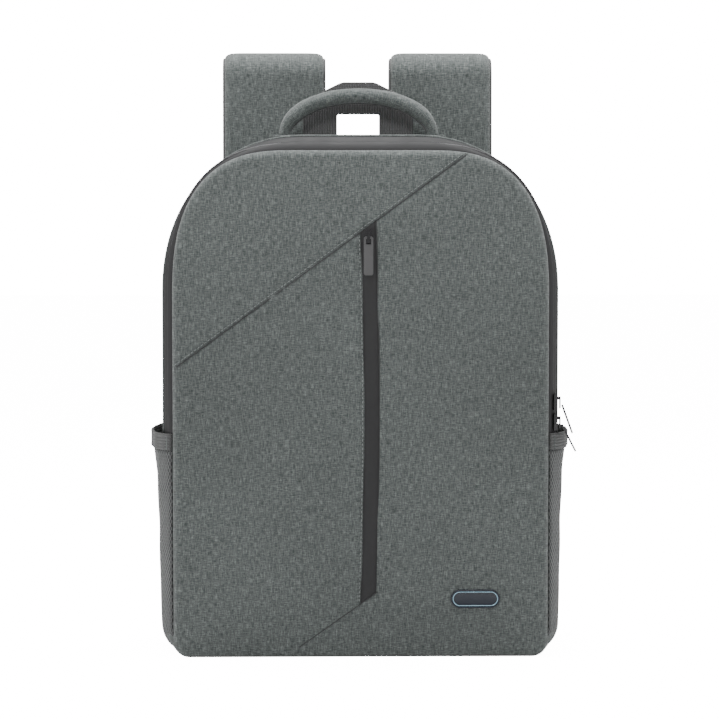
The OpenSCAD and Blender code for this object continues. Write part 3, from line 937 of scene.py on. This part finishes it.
for side, word in ((1, "right"), (-1, "left")):
    rings = []
    for t in np.linspace(0, 1, 60):
        z = 0.0075 + (MOUTH - BIND_H - 0.0075) * t
        out = 0.0022 + 0.0022 * math.sin(math.pi * min(t, 0.6)) + 0.0045 * t**4
        r = bow(side, z, out)
        r[:, 0] += side * 0.00035 * np.sin(90 * r[:, 1] + 22 * t) * t
        rings.append(r)
    net = loft("side_pocket_net_" + word, rings, flip=side < 0)
    net.modifiers.new("thickness", "SOLIDIFY").thickness = 0.0007
    dress(net, "pocket_net")
    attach(net, "pack")
    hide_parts("side_net_" + word)
    zc = MOUTH - BIND_H / 2
    path = bow(side, zc, 0.0098, 60)
    ripple = 0.0004 * np.sin(np.linspace(0, 38, 60))
    path[:, 0] += side * ripple
    T = np.gradient(path, axis=0)
    T /= np.linalg.norm(T, axis=1)[:, None]
    A = np.tile([0, 0, 1.0], (60, 1))
    B = np.cross(A, T)
    b = sweep("pocket_binding_" + word, path, A, B, pill(BIND_H, 0.0022, 0.001, 4))
    dress(b, "edge_binding")
    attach(b, "pack")
    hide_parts("net_binding_" + word)
    for k, dz in enumerate((-0.0052, 0.0054)):
        line = bow(side, zc + dz, 0.0110, 120)[6:-6]
        nrm = (side * 1.0, 0, 0)
        row = stitches("binding_stitches_%s_%d" % (word, k), line, nrm, 0.0022, 0.0013, 0.00022)
        dress(row, "edge_binding", DARK_THREAD_AND_SHADE)
        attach(row, "pack")

# ---------------------------------------------------------------- shoulder straps
sp_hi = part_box("strap_pad_right")[1]
STRAP_TOP = sp_hi[2]
PAD_T, LIN_T = 0.007, 0.0025
FOLD_R = STRAP_TOP - 0.470 - PAD_T


def strap_half(z):
    return 0.030 + 0.012 * smooth((z - 0.150) / 0.230)


def strap_mid(z):
    return 0.092 - 0.022 * smooth((z - 0.150) / 0.230)


line = [[BACK_Y + 0.009 + 0.003 * t, 0.390 + 0.080 * t] for t in np.linspace(0, 1, 22, endpoint=False)]
line += [[
    BACK_Y + 0.012 + FOLD_R * (1 + math.cos(a)), 0.470 + FOLD_R * math.sin(a)
] for a in np.radians(np.linspace(180, 0, 28, endpoint=False))]
line += [[
    BACK_Y + 0.012 + 2 * FOLD_R - 0.006 * q + 0.016 * math.sin(math.pi * q) ** 2, 0.470 - 0.320 * q
] for q in np.linspace(0, 1, 90)]
line = np.array(line)
tan = np.gradient(line, axis=0)
tan /= np.linalg.norm(tan, axis=1)[:, None]
out = np.c_[-tan[:, 1], tan[:, 0]]
arc = lengths(line)
end = smooth((arc[-1] - arc) / 0.028) ** 0.45 * 0.999 + 0.001
# flatness across a strap: a higher power gives squarer edges
CROWN = 12
for side, word in ((1, "right"), (-1, "left")):
    body = "strap_" + word
    cols = 41
    s = np.linspace(-1, 1, cols)
    s = 0.45 * s + 0.55 * np.sin(np.pi / 2 * s)
    half = strap_half(line[:, 1]) * np.where(arc > arc[-1] - 0.03, np.maximum(end, 0.25), 1)
    mid = strap_mid(line[:, 1])
    fold_k = np.exp(-(((arc - arc[22] - FOLD_R * 1.5) / 0.02) ** 2))
    for layer, name, slot_name in ((1, "strap_face_", "heather_cloth"), (-1, "strap_lining_", "air_mesh")):
        P = np.zeros((len(line), cols, 3))
        thick = PAD_T if layer > 0 else LIN_T
        edge0 = 0.0012
        for i in range(len(line)):
            arch = (1 - np.abs(s) ** CROWN) ** 0.5
            crown = edge0 + (thick - edge0) * arch if layer > 0 else edge0 - (thick + edge0) * arch
            wr = 0.00035 * np.sin(95 * arc[i] + 2.2 * s + side) * (1 - s**2) * (1 - fold_k[i])
            off = crown + (wr if layer > 0 else 0)
            P[i, :, 0] = side * (mid[i] + s * half[i])
            P[i, :, 1] = line[i, 0] + out[i, 0] * off
            P[i, :, 2] = line[i, 1] + out[i, 1] * off
        u = s[None] * half[:, None]
        uv = np.stack([u, np.repeat(arc[:, None], cols, 1)], -1)
        ob = grid_mesh(name + word, P, uv, flip=(side > 0) == (layer > 0))
        dress(ob, slot_name)
        if layer > 0:
            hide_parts("strap_root_" + word, "strap_pad_" + word)
        else:
            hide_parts("strap_mesh_" + word)
        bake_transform(ob)
    def edge_path(sgn, off=0.0012):
        return np.c_[side * (mid + sgn * half), line[:, 0] + out[:, 0] * off, line[:, 1] + out[:, 1] * off]
    loop = np.concatenate([edge_path(1), edge_path(-1)[::-1]])
    keep = np.concatenate([[True], np.linalg.norm(np.diff(loop, axis=0), axis=1) > 1e-5])
    loop = loop[keep]
    bind = tube("strap_edge_" + word, loop, 0.0013, up=(1, 0.01, 0.02), n=8)
    dress(bind, "edge_binding")
    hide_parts("strap_binding_" + word)
    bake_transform(bind)
    for k, q in enumerate((-0.86, 0.86)):
        sel = slice(2, len(line) - 12)
        off = 0.0012 + 0.0058 * math.sqrt(1 - abs(q) ** CROWN) - 0.0001
        pts = np.c_[side * (mid + q * half), line[:, 0] + out[:, 0] * off, line[:, 1] + out[:, 1] * off][sel]
        seam = tube("strap_seam_%s_%d" % (word, k), pts, 0.00035, up=(1, 0.01, 0.02), n=6)
        dress(seam, "heather_cloth")
        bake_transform(seam)
    # webbing from the lock to the wing
    llo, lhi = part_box("ladder_lock_" + word)
    lx = (llo[0] + lhi[0]) / 2
    a = np.array([lx, lhi[1] + 0.0006, llo[2] + 0.014])
    b = np.array([side * 0.126, BACK_Y + 0.0036, 0.056])
    t = np.linspace(0, 1, 40)[:, None]
    path = a + (b - a) * t + np.array([0, -0.006, -0.004]) * np.sin(np.pi * t)
    T = np.gradient(path, axis=0)
    T /= np.linalg.norm(T, axis=1)[:, None]
    A = np.tile([math.cos(0.35), 0, side * math.sin(0.35)], (40, 1))
    B = np.cross(T, A)
    B /= np.linalg.norm(B, axis=1)[:, None]
    A = np.cross(B, T)
    w = sweep("adjust_webbing_" + word, path, A, B, pill(0.025, 0.0015, 0.0006, 3))
    dress(w, "webbing")
    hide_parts("lower_webbing_" + word)
    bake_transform(w)
    # loose tail of the webbing below the lock
    path = np.array([[lx, llo[1] - 0.0012, llo[2] + 0.012 - q] for q in np.linspace(0, 0.075, 24)])
    path[:, 1] += -0.002 * np.sin(np.linspace(0, 2.4, 24))
    T = np.gradient(path, axis=0)
    T /= np.linalg.norm(T, axis=1)[:, None]
    A = np.tile([1.0, 0, 0], (24, 1))
    tail = sweep("webbing_tail_" + word, path, A, np.cross(T, A), pill(0.024, 0.0015, 0.0006, 3))
    dress(tail, "webbing")
    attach(tail, body)
    # tab at the strap end
    tlo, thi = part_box("lock_tab_" + word)
    pts = []
    yc = (tlo[1] + thi[1]) / 2
    for q in np.linspace(0, 2 * math.pi, 40, endpoint=False):
        pts.append([lx, yc + (thi[1] - tlo[1]) / 2 * math.cos(q) * 0.86, 0.1462 + 0.0085 * math.sin(q)])
    pts = np.array(pts)
    T = np.roll(pts, -1, axis=0) - np.roll(pts, 1, axis=0)
    T /= np.linalg.norm(T, axis=1)[:, None]
    A = np.tile([1.0, 0, 0], (40, 1))
    tab = sweep(
        "strap_tab_" + word, pts, A, np.cross(T, A), pill(0.0245, 0.0014, 0.0005, 3), closed_path=True
    )
    dress(tab, "webbing")
    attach(tab, body)
    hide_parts("lock_tab_" + word)

# ---------------------------------------------------------------- handle and loop
H_Y = 0.030
H_FOOT = BODY_H - 0.0006
t = np.linspace(0.03, math.pi - 0.03, 90)
c, sn = np.cos(t), np.sin(t)
hx = -0.0615 * np.sign(c) * np.abs(c) ** (2 / 2.1)
hz = H_FOOT + 0.0335 * sn ** (2 / 2.0)
path = np.c_[hx, np.full(90, H_Y), hz]
T = np.gradient(path, axis=0)
T /= np.linalg.norm(T, axis=1)[:, None]
A = np.tile([0, 1.0, 0], (90, 1))
B = np.cross(T, A)
arc_h = lengths(path)
endd = np.minimum(arc_h, arc_h[-1] - arc_h)
sc = 0.72 + 0.28 * smooth(endd / 0.022)
ribs = 1 + 0.012 * np.sin(arc_h * 260) * smooth(endd / 0.02)
girth = [[q * r, q * r] for q, r in zip(sc, ribs)]
handle = sweep("handle_grip", path, A, B, circle(0.0066, 22, 0.0062), scale=girth)
dress(handle, "heather_cloth")
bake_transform(handle)
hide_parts("handle_cover", "handle_core")
inner = path + (-B if B[45][2] > 0 else B) * (0.0061 * sc)[:, None]
seam = tube("handle_seam", inner[4:-4], 0.0009, up=(0, 1, 0), n=8)
dress(seam, "edge_binding")
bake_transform(seam)
for i, x in enumerate((-0.0595, 0.0595)):
    tab = rounded_box(
        "handle_foot_%d" % i, (x - 0.011, H_Y - 0.0095, BODY_H - 0.0034),
        (x + 0.011, H_Y + 0.0095, BODY_H + 0.0006), 0.0007, 2
    )
    dress(tab, "heather_cloth")
    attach(tab, "pack")

# ---------------------------------------------------------------- badge, wings, small parts
blo, bhi = (np.array(v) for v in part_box("badge"))
bc = (blo + bhi) / 2
reach, br = (bhi[0] - blo[0] - (bhi[2] - blo[2])) / 2, (bhi[2] - blo[2]) / 2


def capsule_path(r, n=20):
    a = np.radians(np.linspace(-90, 90, n))
    right = np.c_[reach + r * np.cos(a), r * np.sin(a)]
    left = np.c_[-reach - r * np.cos(a), -r * np.sin(a)]
    return np.concatenate([right, left])


by = float(skin_y(np.array([bc[0]]), np.array([bc[2]]))[0])
rings = []
for r, y in (
    (br, by + 0.0006), (br, by - 0.0008), (br - 0.0003, by - 0.0012), (br - 0.0008, by - 0.0013),
    (br - 0.0012, by - 0.0010), (br - 0.0016, by - 0.0009), (0.00002, by - 0.0009)
):
    o = capsule_path(r)
    rings.append(np.c_[bc[0] + o[:, 0], np.full(len(o), y), bc[2] + o[:, 1]])
badge = loft("badge_plate", rings, close=True)
fix_normals(badge)
dress(badge, "badge_plastic")
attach(badge, "pack")
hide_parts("badge")
o = capsule_path(br - 0.0019, 24)
rim = tube(
    "badge_outline", np.c_[bc[0] + o[:, 0], np.full(len(o), by - 0.0010), bc[2] + o[:, 1]], 0.00032,
    up=(0, 1, 0), n=6, closed=True
)
dress(rim, "badge_plastic", RIM_BLUE)
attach(rim, "pack")


def plate(name, outline, y0, y1, r, slot_name, body):
    import bmesh

    bm = bmesh.new()
    vs = [bm.verts.new((x, y0, z)) for x, z in outline]
    f = bm.faces.new(vs)
    g = bmesh.ops.extrude_face_region(bm, geom=[f])
    for v in g["geom"]:
        if isinstance(v, bmesh.types.BMVert):
            v.co.y = y1
    bmesh.ops.recalc_face_normals(bm, faces=bm.faces)
    bmesh.ops.bevel(bm, geom=list(bm.edges), offset=r, segments=3, profile=0.6, affect="EDGES")
    uvl = bm.loops.layers.uv.verify()
    for fc in bm.faces:
        fc.smooth = True
        for l in fc.loops:
            l[uvl].uv = (l.vert.co.x, l.vert.co.z)
    me = bpy.data.meshes.new(name)
    bm.to_mesh(me)
    bm.free()
    ob = bpy.data.objects.new(name, me)
    bpy.context.scene.collection.objects.link(ob)
    dress(ob, slot_name)
    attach(ob, body)
    return ob


z0 = BODY_H + 0.0002
half_loop = (
    (0.0175, 0), (0.046, 0), (0.046, 0.018), (0.0445, 0.0225), (0.0315, 0.0355), (0.0285, 0.0372),
    (0.0155, 0.0436), (0.012, 0.0445)
)
hole = ((0.0175, 0.0165), (0.0165, 0.0175))
o = [(x, z0 + z) for x, z in half_loop] + [(-x, z0 + z) for x, z in half_loop[::-1]]
o += [(-x, z0 + z) for x, z in hole] + [(x, z0 + z) for x, z in hole[::-1]]
webbing_loop = plate("webbing_loop", o, 0.0520, 0.0540, 0.0006, "webbing", "loop")
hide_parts("hang_loop")

for side, word in ((1, "right"), (-1, "left")):
    o = [(side * x, z) for x, z in ((0.1575, 0.028), (0.1575, 0.092), (0.114, 0.063), (0.109, 0.046))]
    wing = plate("wing_" + word, o, BACK_Y - 0.0006, BACK_Y + 0.0026, 0.0008, "heather_cloth", "pack")
    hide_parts("strap_wing_" + word)

for name in (
    "pocket_slider", "pocket_puller", "zip_slider_upper", "zip_slider_lower", "zip_puller_upper",
    "zip_puller_lower", "ladder_lock_left", "ladder_lock_right", "zip_end_left", "zip_end_right"
):
    ob = frame["nodes"][name]
    bv = ob.modifiers.new("soft_edges", "BEVEL")
    bv.width = 0.00035
    bv.segments = 2
    bv.limit_method = "ANGLE"
    bv.angle_limit = math.radians(35)

# laptop divider: quilted pad with a bound top edge
lo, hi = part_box("laptop_divider")
dv = pillow(
    "divider_front", lo[0], hi[0], lo[2], hi[2], 0, 0.002, 0.018, "lining_cloth", "pack", cols=70,
    rows=70, channels=4
)
for v in dv.data.vertices:
    v.co.y = (lo[1] + hi[1]) / 2 - v.co.y
pillow(
    "divider_back", lo[0], hi[0], lo[2], hi[2], (lo[1] + hi[1]) / 2, 0.002, 0.018, "lining_cloth",
    "pack", cols=70, rows=70
)
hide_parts("laptop_divider")
top_line = [[x, (lo[1] + hi[1]) / 2, hi[2] - 0.0002] for x in np.linspace(lo[0] + 0.018, hi[0] - 0.018, 60)]
edge = tube("divider_binding", top_line, 0.0024, up=(0, 1, 0), n=10)
dress(edge, "edge_binding")
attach(edge, "pack")

# ---------------------------------------------------------------- stage, light, camera
# brightness of the backdrop as the camera sees it, and of the light it gives
SKY_SEEN, FLOOR_SEEN, SKY_LIGHT = 16.0, 15.0, 0.6
me = bpy.data.meshes.new("floor")
F = 6.0
me.from_pydata([(-F, -F, 0), (F, -F, 0), (F, F, 0), (-F, F, 0)], [], [(0, 1, 2, 3)])
floor = bpy.data.objects.new("floor", me)
bpy.context.scene.collection.objects.link(floor)
fm, fnt, fb = new_mat("floor_mat")
fb.inputs["Base Color"].default_value = (0.93, 0.93, 0.93, 1)
fb.inputs["Roughness"].default_value = 0.6
fb.inputs["Specular IOR Level"].default_value = 0.2
ray = fnt.nodes.new("ShaderNodeLightPath")
fb.inputs["Emission Color"].default_value = (1, 1, 1, 1)
fnt.links.new(
    math_node(fnt, "MULTIPLY", ray.outputs["Is Camera Ray"], FLOOR_SEEN),
    fb.inputs["Emission Strength"]
)
me.materials.append(fm)
floor.location.z = -0.0002

world = bpy.data.worlds.new("studio")
world.use_nodes = True
bpy.context.scene.world = world
world.node_tree.nodes["Background"].inputs[0].default_value = (1, 1, 1, 1)
ray = world.node_tree.nodes.new("ShaderNodeLightPath")
seen = math_node(
    world.node_tree, "ADD",
    math_node(world.node_tree, "MULTIPLY", ray.outputs["Is Camera Ray"], SKY_SEEN), SKY_LIGHT
)
world.node_tree.links.new(seen, world.node_tree.nodes["Background"].inputs[1])


def area(name, loc, target, size, power):
    li = bpy.data.lights.new(name, "AREA")
    li.shape = "RECTANGLE"
    li.size, li.size_y = size
    li.energy = power
    ob = bpy.data.objects.new(name, li)
    ob.location = loc
    ob.rotation_euler = (Vector(target) - Vector(loc)).to_track_quat("-Z", "Y").to_euler()
    bpy.context.scene.collection.objects.link(ob)
    return ob


MIDDLE = (0, 0, 0.22)
area("key", (-0.9, -1.5, 1.7), MIDDLE, (1.2, 1.2), 8.5)
area("rim_left", (-1.5, -0.1, 0.6), MIDDLE, (0.6, 1.4), 4)
area("rim_right", (1.5, -0.1, 0.6), MIDDLE, (0.6, 1.4), 3)
area("top", (0, 0.1, 1.8), MIDDLE, (1.6, 1.0), 54)

spot = bpy.data.lights.new("upper", "SPOT")
spot.energy = 330
spot.spot_size = math.radians(12)
spot.spot_blend = 1.0
spot.shadow_soft_size = 0.3
upper = bpy.data.objects.new("upper", spot)
upper.location = (-0.1, -1.7, 1.5)
upper.rotation_euler = (Vector((0, 0.07, 0.60)) - upper.location).to_track_quat("-Z", "Y").to_euler()
bpy.context.scene.collection.objects.link(upper)

AZ, EL, DIST, PX = math.radians(-1.2), math.radians(4.0), 2.4, 0.0008
target = Vector((-0.0012, FY, 0.2410))
cam = bpy.data.cameras.new("camera")
cam.sensor_width = 36
cam.lens = 36 * DIST / (719 * PX)
cam.clip_start, cam.clip_end = 0.05, 50
camera = bpy.data.objects.new("camera", cam)
direction = Vector((math.sin(AZ) * math.cos(EL), -math.cos(AZ) * math.cos(EL), math.sin(EL)))
camera.location = target + direction * DIST
camera.rotation_euler = (-direction).to_track_quat("-Z", "Y").to_euler()
bpy.context.scene.collection.objects.link(camera)
bpy.context.scene.camera = camera
